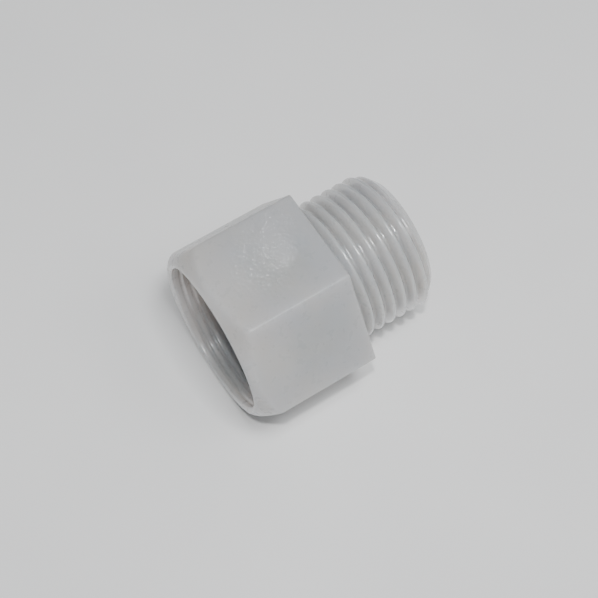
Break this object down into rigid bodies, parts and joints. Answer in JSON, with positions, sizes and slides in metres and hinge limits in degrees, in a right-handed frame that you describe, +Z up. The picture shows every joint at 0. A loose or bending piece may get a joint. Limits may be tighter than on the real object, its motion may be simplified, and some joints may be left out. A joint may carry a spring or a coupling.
{
  "type": "pneumatic muffler",
  "caption": "Hexagonal translucent plastic exhaust muffler with a male pipe thread and an open threaded bore, whose screwed ring retains screens and porous discs.",
  "frame": {"origin": "centre of the hexagon's shoulder plane, on the muffler's axis, where the male thread starts", "axes": "+X along the axis towards the threaded end, +Z up out of the top flat of the hexagon, +Y through a corner of the hexagon"},
  "size_m": [0.031, 0.0294, 0.0254],
  "materials": {
    "body_plastic": "milky translucent natural plastic, soft satin, slightly grainy on the flats",
    "ring_plastic": "natural moulded plastic, satin",
    "porous_plastic": "sintered granular plastic, fully matte",
    "gasket_rubber": "black elastomer, matte",
    "steel": "stainless steel, satin"
  },
  "bodies": {
    "housing": {"muffler_body": "body_plastic", "outlet_screen": "steel", "outer_porous_disc": "porous_plastic", "baffle_plate": "ring_plastic", "inner_porous_disc": "porous_plastic", "core_tube": "ring_plastic", "seat_gasket": "gasket_rubber", "packing_sleeve": "porous_plastic", "inlet_screen": "steel", "snap_ring": "steel"},
    "slip_washer": {"slip_washer": "steel"},
    "retaining_ring": {"retaining_ring": "ring_plastic"}
  },
  "joints": [
    {"name": "ring_travel", "type": "slide", "parent": "housing", "child": "slip_washer", "axis": [-1, 0, 0], "range_m": [0, 0.00889]},
    {"name": "ring_turn", "type": "hinge", "parent": "slip_washer", "child": "retaining_ring", "pos_m": [-0.0101, 0, 0], "axis": [-1, 0, 0], "range_deg": [0, 2520]}
  ],
  "couplings": [
    {"joint": "ring_turn", "follows": "ring_travel", "rad_per_m": 4947.4}
  ]
}
